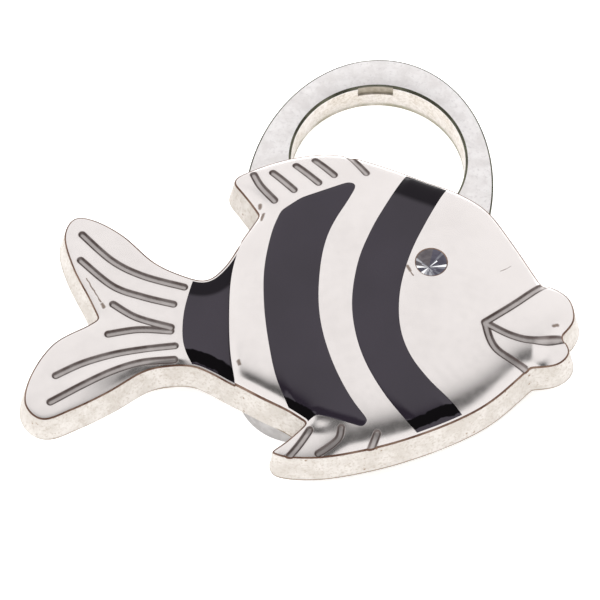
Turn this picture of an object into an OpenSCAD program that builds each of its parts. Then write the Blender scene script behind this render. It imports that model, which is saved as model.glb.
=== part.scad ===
// Fish-shaped bottle opener and fridge magnet, lying on its back.
// +X points to the head, +Y to the opener ring, +Z up out of the polished face.
// The origin is under the middle of the outline, on the surface that the opener lies on.

/* [Fish casting] */
// Height of the side wall, from the flat back to the edge of the face
wall_h = 5.5; // [5:0.1:7]
// How much wider the back is than the face, all round, so that the casting leaves its mould
draft = 1.3; // [0.4:0.1:1.5]
// Rise of the face from its edge to its flat middle
dome_h = 1.7; // [1.2:0.1:2]
// Width of the band in which the face rises
dome_w = 4.5; // [3:0.5:5]
// How far the edge of the tail lies below the edge of the body
tail_drop = 0.5; // [0.4:0.1:0.8]
// Rise of the tail's face from its edge to its flat middle
tail_dome_h = 0.3; // [0.2:0.1:1.2]
// Width of the engraved fin and mouth lines
groove_w = 1.1; // [0.8:0.1:1.3]
// Depth of the engraved lines
groove_depth = 0.5; // [0.3:0.1:0.8]

/* [Black enamel] */
// Thickness of the enamel in its pockets
enamel_h = 0.8; // [0.5:0.1:1]
// Width of the bare metal rim that closes a pocket at the edge of the fish
enamel_rim = 0.4; // [0.3:0.1:0.6]

/* [Eye] */
// Diameter of the pointed glass stone
stone_d = 5.4; // [4.8:0.1:6]
// Height of the stone's facets above its girdle
stone_crown = 0.9; // [0.6:0.1:1.2]
// Number of facets round the stone
stone_facets = 32; // [24:2:36]
// Thickness of the cement under the stone
cement_h = 0.2; // [0.1:0.05:0.3]

/* [Opener ring] */
// Diameter of the round hole, just over that of a crimped crown cap
ring_id = 29.6; // [29.2:0.1:31]
// Width of the oval plate round the hole
plate_w = 41.5; // [40:0.1:43]
// Length of the oval, most of which lies behind the fish
plate_l = 54.8; // [50:0.1:58]
// Angle by which the oval leans toward the fish's head
plate_lean = 7.4; // [0:0.1:10]
// Distance from the middle of the hole at which the oval's hidden end is rounded off
plate_reach = 22.5; // [20.5:0.1:23]
// Thickness of the plate
ring_h = 6; // [5.5:0.1:6.5]
// Width of the notch above the lip that catches the cap
catch_w = 6.2; // [5:0.1:8]
// Depth of the notch into the ring
catch_depth = 0.3; // [0.2:0.1:1]
// Thickness of the lip that is left below the notch
lip_h = 3.6; // [1.6:0.1:4]

/* [Rivets] */
// Diameter of a rivet's shank
rivet_d = 2.4; // [2:0.1:2.6]
// Diameter of a rivet's flat head
rivet_head_d = 3.8; // [3.4:0.1:4]
// Depth of a rivet in the fish casting
rivet_grip = 3.5; // [2.5:0.1:4]

/* [Magnet] */
// Diameter of the magnet disc
magnet_d = 20; // [18:0.5:20]
// Thickness of the magnet disc
magnet_h = 5; // [4:0.1:5]
// Diameter of the adhesive pad above it
pad_d = 19; // [17:0.5:19]

/* [Hidden] */
$fn = 96;

// Outline of the face, clockwise from the fork of the tail. Each list is one smooth stretch, and
// the next one starts at its last point, so the lists meet in corners.
tail_top = [[-33, 0], [-35, 3.8], [-38, 9.2], [-40, 15], [-38.8, 18.7], [-35.3, 18.5],
            [-30.4, 15.8], [-25.2, 11.2], [-20.5, 8.9], [-16.3, 8.1], [-13.4, 10.7],
            [-10.9, 15.5], [-8.2, 20.5]];
fin_rear = [[-8.2, 20.5], [-10.1, 23.2], [-12.8, 26.6]];
back = [[-12.8, 26.6], [-12, 28.2], [-6, 31.2], [0, 32.9], [5.3, 33], [12, 31.2], [19, 28.6],
        [24.4, 26.6], [29.2, 23.4], [33.3, 17.7], [38.2, 9.7]];
upper_lip = [[38.2, 9.7], [40.6, 9.1], [43, 7.1], [43.6, 3.4], [41.6, 0.3]];
lower_lip = [[41.6, 0.3], [42.9, -2.4], [41, -4.8], [36.7, -5.7]];
cheek = [[36.7, -5.7], [31, -11.7], [26, -15.3], [19.5, -18.6], [12.5, -21.3], [4.7, -23.3],
         [-1, -23.6], [-3.9, -22.9]];
belly_fin = [[-3.9, -22.9], [-1.4, -20.8], [1.6, -17.5]];
belly = [[1.6, -17.5], [-1.5, -15.5], [-5.5, -13.6], [-9.2, -11.7]];
tail_low = [[-9.2, -11.7], [-11.4, -10.6], [-14, -9.2], [-17, -8], [-20.5, -8], [-25, -9.3],
            [-30.5, -13.4], [-36, -16.8], [-40.4, -18.7], [-43.4, -16], [-42.9, -10.7], [-39.8, -4.9],
            [-34.6, -1.3], [-33, 0]];
outline = [for (s = [tail_top, fin_rear, back, upper_lip, lower_lip, cheek, belly_fin, belly,
                     tail_low]) each spline(s, 3)];

// Edges of the three enamel stripes, from the back of the fish to its belly. The rear stripe also
// has a hooked foot and a slanting head, which join its two edges.
body_rear_edge = [[-9.3, 21.6], [-11.2, 14.1], [-12.1, 8.3], [-12, 1.5], [-11.3, -6],
                  [-9.9, -12.5]];
stem_front = [[-17.8, 10], [-18.7, 6.4], [-19.4, 1.9], [-19.3, -2.5], [-18.7, -6.4], [-17.5, -10]];
rear_left = [[-4.7, 20.9], [-6, 16.6], [-6.8, 9.6], [-6.4, 2.5], [-5.2, -4.6], [-3.6, -10.7],
             [-1, -16]];
rear_foot = [[0.8, -18], [3, -16.4], [10.4, -18.4]];
rear_right = [[7.4, 26], [6.2, 23.3], [4.1, 19], [2.9, 15.2], [2.3, 10.5], [2.3, 4.3],
              [3.2, -1.4], [5.3, -7.6], [8.2, -13.2], [11.2, -17.2]];
rear_head = [[7.3, 26.8], [6.1, 27], [-1.5, 23.5]];
front_left = [[17, 32], [12.6, 23.1], [10.2, 17.7], [8.4, 11.8], [7.7, 4.9], [8.4, -1.1],
              [10.3, -6.8], [13.6, -12.5], [17.4, -17], [21, -20]];
front_right = [[24.5, 31.5], [19.2, 19.8], [16.7, 13.1], [15.4, 6.5], [15.6, 0.2], [17.3, -4.9],
               [20.5, -9.4], [24.5, -13.3], [29, -18]];

// Centre lines of the engraved lines: five on the tail's two lobes, a forked one between them,
// five on the back, three on the belly fin and three round the mouth
grooves = [[[-37.2, 15.7], [-31.8, 10.9], [-26.5, 8.3], [-19.7, 6.6]],
           [[-37, 10.8], [-31.4, 6.2], [-26.3, 4.4], [-21.2, 3.3]],
           [[-31, 2.8], [-27, 0.5], [-21.3, -1]],
           [[-31.3, -2.8], [-26.4, -1.7], [-21.3, -1.7]],
           [[-39, -10.8], [-35, -8.4], [-30.2, -6.5], [-25.4, -5.3], [-20.4, -4.4]],
           [[-39.4, -15.6], [-34.5, -12.3], [-29.9, -9.6], [-25.4, -7.7], [-20.9, -6.6]],
           [[-9.7, 28.3], [-8.4, 25.8], [-5.9, 22.9]],
           [[-6.5, 28.5], [-2.8, 25]],
           [[-2.7, 30.1], [1.2, 26.6]],
           [[0.4, 31.4], [3.7, 28.3]],
           [[5.2, 34], [9, 29.1]],
           [[2, -18.8], [0.4, -21.6], [-2, -25]],
           [[7, -18.6], [6.5, -20.5], [3.6, -22.8]],
           [[12.7, -19.2], [11, -24]],
           [[39.7, 10.4], [34.6, 5.6], [29.2, 1.4]],
           [[29.2, 1.4], [33.4, -0.7], [37.3, -1.3], [43, 0]],
           [[29.2, 1.4], [31.2, -3.4], [37.6, -7]]];

eye_at = [20.3, 12.2];
hole_at = [10.9, 36.4];
plate_at = [9.6, 29.6];
magnet_at = [-0.6, -5.3];

back_z = ring_h;
edge_z = back_z + wall_h;
top_z = edge_z + dome_h;
cut_from_z = back_z + 0.6 * wall_h;
dome_steps = 3;
outline_r = 0.4;
stripe_r = 0.7;
past = 1;
shank_gap = 0.05;
cap_angle = 94;
rivet_angles = [215, 265, 315];
rivet_ring_r = 18.3;
rivet_head_h = 1.2;
head_recess = 0.3;
magnet_bevel = 0.3;
stone_girdle = 0.3;
stone_tip_d = 0.3;
ring_bevel = 0.3;
hole_bevel = 0.4;

// How far the leaning oval reaches in Y from its middle
plate_top = norm([plate_w * sin(plate_lean), plate_l * cos(plate_lean)]) / 2;
// Half-way point of the outline in X and, with the ring, in Y
middle = [(min([for (p = outline) p.x]) + max([for (p = outline) p.x])) / 2,
          (min([for (p = outline) p.y]) - draft + plate_at.y + plate_top) / 2];

// Points of a smooth curve through the points of a list, n for each gap, without its last point
function spline(p, n) =
    [for (i = [0:len(p) - 2]) let (
        a = p[max(i - 1, 0)], b = p[i], c = p[i + 1], d = p[min(i + 2, len(p) - 1)])
        for (k = [0:n - 1]) let (t = k / n)
            b + (c - a) * t / 2 + (2 * a - 5 * b + 4 * c - d) * t * t / 2
            + (3 * b - a - 3 * c + d) * t * t * t / 2];

// The same curve with its last point
function curve(p) = concat(spline(p, 4), [p[len(p) - 1]]);

// The points of a list in reverse order
function backwards(p) = [for (i = [len(p) - 1:-1:0]) p[i]];

// Unit vector to the left of a curve at point i
function left_of(p, i) =
    let (v = p[min(i + 1, len(p) - 1)] - p[max(i - 1, 0)]) [-v.y, v.x] / norm(v);

// Outline of a line of width w along a curve
function stroke(p, w) =
    concat([for (i = [0:len(p) - 1]) p[i] + left_of(p, i) * w / 2],
           backwards([for (i = [0:len(p) - 1]) p[i] - left_of(p, i) * w / 2]));

module place() {
    translate([-middle.x, -middle.y, 0]) children();
}

// Face outline of the whole fish, its corners eased
module fish_2d() {
    offset(r = outline_r, $fn = 16) offset(r = -2 * outline_r, $fn = 16)
        offset(r = outline_r, $fn = 16) polygon(outline);
}

// Everything on the tail's side of the edge where the body steps up, moved by dx
module tail_side_2d(dx) {
    translate([dx, 0])
        polygon(concat(curve(body_rear_edge), [[-60, -40], [-60, 40]]));
}

module body_2d() {
    difference() {
        fish_2d();
        tail_side_2d(0);
    }
}

module tail_2d() {
    intersection() {
        fish_2d();
        tail_side_2d(dome_w + past);
    }
}

// How far step k of the face lies inside the edge, so that the steps follow a rounded rise
function step_inset(k) = dome_w * asin(max(k - 0.5, 0) / dome_steps) / 90;

// A face over a flat outline that rises in equal steps to its middle, its edge lowered by drop
module stepped_face(rise, drop) {
    for (k = [0:dome_steps])
        translate([0, 0, back_z])
            linear_extrude(wall_h + rise * k / dome_steps - drop)
                offset(delta = -step_inset(k))
                    children();
}

// The whole casting before it is engraved, lowered by drop
module blank(drop) {
    stepped_face(dome_h, drop) body_2d();
    stepped_face(tail_dome_h, drop + tail_drop) tail_2d();
}

// Space above the face, from depth below it upward, over a flat outline
module over_face(depth) {
    difference() {
        translate([0, 0, cut_from_z]) linear_extrude(wall_h + dome_h) children();
        blank(depth);
    }
}

module pocket_limit_2d() {
    offset(delta = -enamel_rim) fish_2d();
}

module stem_stripe_2d() {
    intersection() {
        pocket_limit_2d();
        polygon(concat(curve(stem_front), backwards(curve(body_rear_edge))));
    }
}

module rear_stripe_2d() {
    intersection() {
        pocket_limit_2d();
        offset(r = stripe_r, $fn = 24) offset(r = -stripe_r, $fn = 24)
            polygon(concat(curve(rear_left), rear_foot, backwards(curve(rear_right)), rear_head));
    }
}

module front_stripe_2d() {
    intersection() {
        pocket_limit_2d();
        polygon(concat(curve(front_left), backwards(curve(front_right))));
    }
}

module groove_2d(line) {
    polygon(stroke(curve(line), groove_w));
    for (end = [line[0], line[len(line) - 1]])
        translate(end) circle(d = groove_w, $fn = 24);
}

// Enamel that fills its pocket level with the metal round it
module enamel() {
    place() difference() {
        intersection() {
            translate([0, 0, cut_from_z]) linear_extrude(wall_h + dome_h) children();
            blank(0);
        }
        blank(enamel_h);
    }
}

module at_rivets() {
    for (a = rivet_angles)
        translate(hole_at + rivet_ring_r * [cos(a), sin(a)]) children();
}

module fish_body() {
    color("gainsboro") place() difference() {
        union() {
            for (k = [0, 1])
                translate([0, 0, back_z])
                    linear_extrude(wall_h * (k + 1) / 3)
                        offset(r = draft * (2 - k) / 2, $fn = 16)
                            fish_2d();
            blank(0);
        }
        over_face(enamel_h) {
            stem_stripe_2d();
            rear_stripe_2d();
            front_stripe_2d();
        }
        over_face(groove_depth)
            for (line = grooves) groove_2d(line);
        translate([eye_at.x, eye_at.y, top_z - stone_girdle - cement_h])
            cylinder(d = stone_d, h = past);
        at_rivets() translate([0, 0, back_z - past]) cylinder(d = rivet_d, h = rivet_grip + past);
    }
}

module stem_enamel() {
    color("#2a262c") enamel() stem_stripe_2d();
}

module rear_enamel() {
    color("#2a262c") enamel() rear_stripe_2d();
}

module front_enamel() {
    color("#2a262c") enamel() front_stripe_2d();
}

module eye_cement() {
    color("lightgoldenrodyellow") place()
        translate([eye_at.x, eye_at.y, top_z - stone_girdle - cement_h])
            cylinder(d = stone_d, h = cement_h);
}

module eye_stone() {
    color("lightslategray") place() translate([eye_at.x, eye_at.y, top_z - stone_girdle]) {
        cylinder(d = stone_d, h = stone_girdle);
        translate([0, 0, stone_girdle])
            cylinder(d1 = stone_d, d2 = stone_tip_d, h = stone_crown, $fn = stone_facets);
    }
}

// A disc of the plate's thickness with bevelled rims
module plate_disc(r) {
    rotate_extrude()
        polygon([[0, 0], [r - ring_bevel, 0], [r, ring_bevel], [r, ring_h - ring_bevel],
                 [r - ring_bevel, ring_h], [0, ring_h]]);
}

module opener_ring() {
    color("lightgray") place() difference() {
        intersection() {
            translate(plate_at) rotate(-plate_lean) scale([1, plate_l / plate_w, 1])
                plate_disc(plate_w / 2);
            translate(hole_at) plate_disc(plate_reach);
        }
        translate(hole_at) {
            translate([0, 0, -past]) cylinder(d = ring_id, h = ring_h + 2 * past);
            translate([0, 0, ring_h - hole_bevel])
                cylinder(r1 = ring_id / 2, r2 = ring_id / 2 + hole_bevel + past, h = hole_bevel + past);
            rotate(cap_angle) intersection() {
                translate([0, -catch_w / 2, lip_h]) cube([ring_id, catch_w, ring_h]);
                cylinder(r = ring_id / 2 + catch_depth, h = 2 * ring_h);
            }
        }
        at_rivets() {
            translate([0, 0, -past]) cylinder(d = rivet_d + 2 * shank_gap, h = ring_h + 2 * past);
            translate([0, 0, -past]) cylinder(d = rivet_head_d, h = head_recess + rivet_head_h + past);
        }
    }
}

module ring_rivets() {
    color("darkgray") place() at_rivets() {
        translate([0, 0, head_recess]) cylinder(d = rivet_head_d, h = rivet_head_h);
        translate([0, 0, head_recess])
            cylinder(d = rivet_d, h = back_z + rivet_grip - head_recess);
    }
}

module magnet() {
    color("dimgray") place() translate(magnet_at)
        rotate_extrude()
            polygon([[0, 0], [magnet_d / 2 - magnet_bevel, 0], [magnet_d / 2, magnet_bevel],
                     [magnet_d / 2, magnet_h - magnet_bevel], [magnet_d / 2 - magnet_bevel, magnet_h],
                     [0, magnet_h]]);
}

module magnet_pad() {
    color("ivory") place() translate([magnet_at.x, magnet_at.y, magnet_h])
        cylinder(d = pad_d, h = back_z - magnet_h);
}

fish_body();
stem_enamel();
rear_enamel();
front_enamel();
eye_cement();
eye_stone();
opener_ring();
ring_rivets();
magnet();
magnet_pad();
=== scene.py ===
import math

import bpy
import numpy as np
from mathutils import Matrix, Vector, geometry
from mathutils.kdtree import KDTree


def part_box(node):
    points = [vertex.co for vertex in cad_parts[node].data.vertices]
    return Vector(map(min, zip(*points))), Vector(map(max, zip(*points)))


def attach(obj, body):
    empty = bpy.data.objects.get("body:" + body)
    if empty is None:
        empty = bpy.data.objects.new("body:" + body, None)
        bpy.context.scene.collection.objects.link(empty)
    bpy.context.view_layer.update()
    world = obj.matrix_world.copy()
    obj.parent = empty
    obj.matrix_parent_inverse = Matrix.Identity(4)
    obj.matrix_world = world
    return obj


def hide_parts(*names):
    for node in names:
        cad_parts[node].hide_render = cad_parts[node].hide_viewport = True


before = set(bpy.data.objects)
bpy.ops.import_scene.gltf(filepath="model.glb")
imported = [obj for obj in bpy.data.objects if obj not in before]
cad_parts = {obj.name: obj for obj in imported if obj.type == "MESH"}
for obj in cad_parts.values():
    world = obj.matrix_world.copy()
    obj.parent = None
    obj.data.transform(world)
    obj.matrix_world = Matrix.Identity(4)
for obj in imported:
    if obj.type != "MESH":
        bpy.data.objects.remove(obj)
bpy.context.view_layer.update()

# Lengths are in millimetres in the fish's own frame until a mesh is made: its X axis runs from
# the fork of the tail to the gap between the lips. row_point() turns them into the row's metres.
MM = 0.001

# ---------------------------------------------------------------- outlines

# They are the CAD model's, but for the lower end of STEM_FRONT and the front end of one engraved
# line on the tail, which are up to 1.5 mm away from its own.

# Face outline, clockwise from the fork of the tail. Each stretch starts at the last one's end.
TAIL_TOP = [(-33, 0), (-35, 3.8), (-38, 9.2), (-40, 15), (-38.8, 18.7), (-35.3, 18.5),
            (-30.4, 15.8), (-25.2, 11.2), (-20.5, 8.9), (-16.3, 8.1), (-13.4, 10.7),
            (-10.9, 15.5), (-8.2, 20.5)]
FIN_REAR = [(-8.2, 20.5), (-10.1, 23.2), (-12.8, 26.6)]
BACK = [(-12.8, 26.6), (-12, 28.2), (-6, 31.2), (0, 32.9), (5.3, 33), (12, 31.2), (19, 28.6),
        (24.4, 26.6), (29.2, 23.4), (33.3, 17.7), (38.2, 9.7)]
UPPER_LIP = [(38.2, 9.7), (40.6, 9.1), (43, 7.1), (43.6, 3.4), (41.6, 0.3)]
LOWER_LIP = [(41.6, 0.3), (42.9, -2.4), (41, -4.8), (36.7, -5.7)]
CHEEK = [(36.7, -5.7), (31, -11.7), (26, -15.3), (19.5, -18.6), (12.5, -21.3), (4.7, -23.3),
         (-1, -23.6), (-3.9, -22.9)]
BELLY_FIN = [(-3.9, -22.9), (-1.4, -20.8), (1.6, -17.5)]
BELLY = [(1.6, -17.5), (-1.5, -15.5), (-5.5, -13.6), (-9.2, -11.7)]
TAIL_LOW = [(-9.2, -11.7), (-11.4, -10.6), (-14, -9.2), (-17, -8), (-20.5, -8), (-25, -9.3),
            (-30.5, -13.4), (-36, -16.8), (-40.4, -18.7), (-43.4, -16), (-42.9, -10.7), (-39.8, -4.9),
            (-34.6, -1.3), (-33, 0)]
OUTLINE = [TAIL_TOP, FIN_REAR, BACK, UPPER_LIP, LOWER_LIP, CHEEK, BELLY_FIN, BELLY, TAIL_LOW]

# Edges of the enamel stripes, from the back of the fish to its belly
BODY_REAR_EDGE = [(-9.3, 21.6), (-11.2, 14.1), (-12.1, 8.3), (-12, 1.5), (-11.3, -6),
                  (-9.9, -12.5)]
STEM_FRONT = [(-17.8, 10), (-18.7, 6.4), (-19.4, 1.9), (-19.3, -2.5), (-18.4, -5.7), (-16.5, -9)]
REAR_LEFT = [(-4.7, 20.9), (-6, 16.6), (-6.8, 9.6), (-6.4, 2.5), (-5.2, -4.6), (-3.6, -10.7),
             (-1, -16)]
REAR_FOOT = [(0.8, -18), (3, -16.4), (10.4, -18.4)]
REAR_RIGHT = [(7.4, 26), (6.2, 23.3), (4.1, 19), (2.9, 15.2), (2.3, 10.5), (2.3, 4.3),
              (3.2, -1.4), (5.3, -7.6), (8.2, -13.2), (11.2, -17.2)]
REAR_HEAD = [(7.3, 26.8), (6.1, 27), (-1.5, 23.5)]
FRONT_LEFT = [(17, 32), (12.6, 23.1), (10.2, 17.7), (8.4, 11.8), (7.7, 4.9), (8.4, -1.1),
              (10.3, -6.8), (13.6, -12.5), (17.4, -17), (21, -20)]
FRONT_RIGHT = [(24.5, 31.5), (19.2, 19.8), (16.7, 13.1), (15.4, 6.5), (15.6, 0.2), (17.3, -4.9),
               (20.5, -9.4), (24.5, -13.3), (29, -18)]

# Centre lines of the engraved lines: tail, back, belly fin and mouth
GROOVES = [[(-37.2, 15.7), (-31.8, 10.9), (-26.5, 8.3), (-19.7, 6.6)],
           [(-37, 10.8), (-31.4, 6.2), (-26.3, 4.4), (-21.2, 3.3)],
           [(-31, 2.8), (-27, 0.5), (-21.3, -1)],
           [(-31.3, -2.8), (-26.4, -1.7), (-21.3, -1.7)],
           [(-39, -10.8), (-35, -8.4), (-30.2, -6.5), (-25.4, -5.3), (-20.4, -4.4)],
           [(-39.4, -15.6), (-34.5, -12.3), (-29.9, -9.6), (-25.4, -7.8), (-20.3, -7)],
           [(-9.7, 28.3), (-8.4, 25.8), (-5.9, 22.9)],
           [(-6.5, 28.5), (-2.8, 25)],
           [(-2.7, 30.1), (1.2, 26.6)],
           [(0.4, 31.4), (3.7, 28.3)],
           [(5.2, 34), (9, 29.1)],
           [(2, -18.8), (0.4, -21.6), (-2, -25)],
           [(7, -18.6), (6.5, -20.5), (3.6, -22.8)],
           [(12.7, -19.2), (11, -24)],
           [(39.7, 10.4), (34.6, 5.6), (29.2, 1.4)],
           [(29.2, 1.4), (33.4, -0.7), (37.3, -1.3), (43, 0)],
           [(29.2, 1.4), (31.2, -3.4), (37.6, -7)]]

# ---------------------------------------------------------------- sizes

# How far the side wall's foot stands out from the face's edge
DRAFT = 1.3
# Rise of the face above its edge, and how far in from the edge it takes place
DOME_H = 1.7
DOME_REACH = 2.2
# The rise is steeper on the lower rear of the body. It comes in over these spans of X and Y.
STEEP_REACH = 1.0
STEEP_X = (-6, 0)
STEEP_Y = (-4, 2)
# The rise is smaller on the belly fin and the lower lip, by these shares, over these spans
FIN_LOSS = 0.8
FIN_X = (2.5, 9)
FIN_Y = (-19.5, -16.5)
LIP_LOSS = 0.96
LIP_X = (36.5, 40.5)
LIP_HALF_SPAN = 0.5
# The line between the lips: its slope and where it crosses the X axis
MOUTH_SLOPE = 0.23
MOUTH_X = 43
# The rise on the body starts this far behind the body's rear edge
REAR_START = 0.8
# The tail lies lower than the body, is nearly flat and has a soft ridge on its lower lobe
TAIL_DROP = 0.5
TAIL_DOME_H = 0.1
TAIL_REACH = 0.5
TAIL_RIDGE_H = 0.3
TAIL_RIDGE_W = 1.6
TAIL_RIDGE_X = (-39, -28)
TAIL_RIDGE_INSET = 1.2
LOWEST_TAIL_LINE = 5
# Engraved lines, and the rows of mesh points beside each
GROOVE_W = 1.2
GROOVE_FLOOR = 0.28
GROOVE_DEPTH = 0.35
GROOVE_ROWS = (0.16, 0.3, 0.4, 0.5, 0.6, 0.72)
# Depth of the enamel, the metal rim left outside it, and how its ends round off
ENAMEL_H = 0.8
ENAMEL_RIM = 0.4
ENAMEL_REACH = 1.2
# Distances between mesh points: beside lines, along edges
FINE_GAP = 0.07
EDGE_GAP = 0.27
# Old brown stains on the face: the two ends of each streak and its half width. RAGGED is how far
# their edges wander.
STAINS = [((16.45, 11.3), (16.9, 10.4), 0.24), ((16.9, 10.4), (17.4, 9.5), 0.1),
          ((-32.7, 2.7), (-32.4, 2.2), 0.26), ((-35.7, 7.4), (-33, 3.1), 0.1),
          ((-8.3, 22.2), (-8.2, 21.9), 0.3), ((-7.6, 20.5), (-7.8, 19.4), 0.22),
          ((-9.9, -7.6), (-9.7, -8.2), 0.26), ((40.3, 1.7), (40.9, 1.9), 0.28),
          ((33.3, 12.3), (31.6, 11.2), 0.04)]
RAGGED = 0.4
# Width of the dark line on the face's edge
EDGE_LINE = 0.18
# How far the rivets go into the casting, and their shank
RIVET_GRIP = 3.5
RIVET_D = 2.4

fish_low, fish_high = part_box("fish_body")
ring_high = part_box("opener_ring")[1]
rivets_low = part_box("ring_rivets")[0]
stone_low, stone_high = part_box("eye_stone")
magnet_low, magnet_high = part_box("magnet")
pad_low, pad_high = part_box("magnet_pad")
BACK_Z = fish_low.z / MM
EDGE_Z = fish_high.z / MM - DOME_H

# ---------------------------------------------------------------- plane geometry


def spline(points, steps):
    """Points of a smooth curve through points, steps for each gap, without its last point."""
    p = np.array(points, float)
    made = []
    for i in range(len(p) - 1):
        a, b, c, d = p[max(i - 1, 0)], p[i], p[i + 1], p[min(i + 2, len(p) - 1)]
        for t in np.arange(steps) / steps:
            made.append(b + (c - a) * t / 2 + (2 * a - 5 * b + 4 * c - d) * t**2 / 2
                        + (3 * b - a - 3 * c + d) * t**3 / 2)
    return np.array(made)


def curve(points, steps=24):
    """The same curve with its last point."""
    return np.vstack([spline(points, steps), np.array(points[-1], float)])


def evenly(line, gap, closed):
    """A line's points moved along it to be about gap apart."""
    ring = np.vstack([line, line[:1]]) if closed else line
    run = np.r_[0, np.cumsum(np.hypot(*np.diff(ring, axis=0).T))]
    count = max(int(round(run[-1] / gap)), 2)
    at = np.linspace(0, run[-1], count + 1)
    if closed:
        at = at[:-1]
    return np.column_stack([np.interp(at, run, ring[:, k]) for k in (0, 1)])


def eased(loop, reach):
    """A closed loop with its corners rounded, by a bell-shaped average over reach points."""
    span = np.arange(-3 * reach, 3 * reach + 1)
    bell = np.exp(-(span / reach) ** 2 / 2)
    bell /= bell.sum()
    return sum(w * np.roll(loop, -k, axis=0) for k, w in zip(span, bell))


def nearest_point(points, line):
    """Index of the line's point nearest to each point."""
    tree = KDTree(len(line))
    for k, (x, y) in enumerate(line):
        tree.insert((x, y, 0), k)
    tree.balance()
    return np.array([tree.find((x, y, 0))[1] for x, y in points], int)


def distance(points, line, closed=False, nearest=None):
    """Distance of each point from a line of closely spaced points."""
    if nearest is None:
        nearest = nearest_point(points, line)
    out = np.full(len(points), np.inf)
    for k in (nearest - 1, nearest):
        if closed:
            a, b = line[k % len(line)], line[(k + 1) % len(line)]
        else:
            a, b = line[np.maximum(k, 0)], line[np.minimum(k + 1, len(line) - 1)]
        step = b - a
        t = ((points - a) * step).sum(1) / np.maximum((step**2).sum(1), 1e-12)
        away = a + np.clip(t, 0, 1)[:, None] * step - points
        out = np.minimum(out, np.hypot(*away.T))
    return out


def inside(points, loop):
    """True for each point inside a closed loop."""
    a, b = loop, np.roll(loop, -1, axis=0)
    out = np.empty(len(points), bool)
    for i in range(0, len(points), 1500):
        x, y = points[i:i + 1500, :1], points[i:i + 1500, 1:]
        crosses = (a[:, 1] > y) != (b[:, 1] > y)
        rise = np.where(b[:, 1] == a[:, 1], 1, b[:, 1] - a[:, 1])
        hit = x < a[:, 0] + (y - a[:, 1]) * (b[:, 0] - a[:, 0]) / rise
        out[i:i + 1500] = (crosses & hit).sum(1) % 2 == 1
    return out


def normals(line, closed):
    """Unit vector to the left of a line at each of its points."""
    if closed:
        step = np.roll(line, -1, axis=0) - np.roll(line, 1, axis=0)
    else:
        step = np.gradient(line, axis=0)
    left = np.column_stack([-step[:, 1], step[:, 0]])
    return left / np.hypot(*left.T)[:, None]


def smooth_step(x, low, high):
    """0 below low, 1 above high, and a soft slope between."""
    t = np.clip((x - low) / (high - low), 0, 1)
    return t * t * (3 - 2 * t)


face_loop = eased(evenly(np.vstack([spline(s, 24) for s in OUTLINE]), 0.1, True), 4)
face_loop = evenly(face_loop, EDGE_GAP, True)
outward = normals(face_loop, True)  # the loop is clockwise, so its left is outside
rear_edge = evenly(curve(BODY_REAR_EDGE), 0.2, False)
tail_side = np.vstack([rear_edge, [(-60, -40), (-60, 40)]])
groove_lines = [evenly(curve(g), 0.2, False) for g in GROOVES]


def signed_inset(points):
    """Distance inside the face outline, negative outside it."""
    nearest = nearest_point(points, face_loop)
    away = ((points - face_loop[nearest]) * outward[nearest]).sum(1)
    return -np.sign(away) * distance(points, face_loop, True, nearest)


# ---------------------------------------------------------------- height of the face

GRID = 0.3


class Pillow:
    """A face that swells from its edge like a stretched skin: steep at the edge, flat inside.

    It solves u - reach^2 * laplacian(u) = 1 on a grid. u is 0 at the edge and nears 1 inside."""

    def __init__(self, depth_inside, reach):
        low, high = face_loop.min(0) - 2, face_loop.max(0) + 2
        self.low = low
        shape = np.ceil((high - low) / GRID).astype(int) + 1
        x, y = np.meshgrid(np.arange(shape[0]), np.arange(shape[1]), indexing="ij")
        points = low + GRID * np.column_stack([x.ravel(), y.ravel()])
        depth = depth_inside(points).reshape(shape)
        u = 1 - np.exp(-np.clip(depth, -1.2, 20) / reach)
        free = depth > 0
        weight = (reach / GRID) ** 2
        odd = np.indices(u.shape).sum(0) % 2 == 1
        for _ in range(90):
            for cells in (free & odd, free & ~odd):
                near = sum(np.roll(u, s, axis=k) for s in (-1, 1) for k in (0, 1))
                better = (1 + weight * near) / (1 + 4 * weight)
                u = np.where(cells, u + 1.85 * (better - u), u)
        self.u = u

    def at(self, points):
        """u at each point, by cubic interpolation."""
        place = (points - self.low) / GRID
        cell = np.floor(place).astype(int)
        t = place - cell

        def weights(f):
            return np.array([-f + 2 * f**2 - f**3, 2 - 5 * f**2 + 3 * f**3,
                             f + 4 * f**2 - 3 * f**3, f**3 - f**2]) / 2

        wx, wy = weights(t[:, 0]), weights(t[:, 1])
        total = np.zeros(len(points))
        for i in range(4):
            for j in range(4):
                total += wx[i] * wy[j] * self.u[cell[:, 0] + i - 1, cell[:, 1] + j - 1]
        return total


def body_depth(points):
    """Distance inside the raised body: its outline, and the edge where it steps down."""
    inset = signed_inset(points)
    rear = distance(points, rear_edge)
    rear = np.where(inside(points, tail_side), -rear, rear) + REAR_START
    return np.minimum(inset, rear)


body_pillow = Pillow(body_depth, DOME_REACH)
steep_pillow = Pillow(body_depth, STEEP_REACH)
tail_pillow = Pillow(signed_inset, TAIL_REACH)
enamel_pillow = Pillow(signed_inset, ENAMEL_REACH)


def groove_distance(points):
    """Distance of each point from the nearest engraved line."""
    return np.min([distance(points, g) for g in groove_lines], axis=0)


def tail_ridge(points):
    """The soft ridge along the lowest engraved line of the tail, which dies out on the lobe."""
    away = distance(points, groove_lines[LOWEST_TAIL_LINE])
    ridge = TAIL_RIDGE_H * np.exp(-(away / TAIL_RIDGE_W) ** 2)
    on_lobe = smooth_step(points[:, 0], *TAIL_RIDGE_X)
    return ridge * on_lobe * smooth_step(signed_inset(points), 0, TAIL_RIDGE_INSET)


def fin_share(points):
    """1 on the body, less on the belly fin, whose face is nearly flat."""
    x, y = points.T
    return 1 - FIN_LOSS * (1 - smooth_step(x, *FIN_X)) * (1 - smooth_step(y, *FIN_Y))


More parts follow.
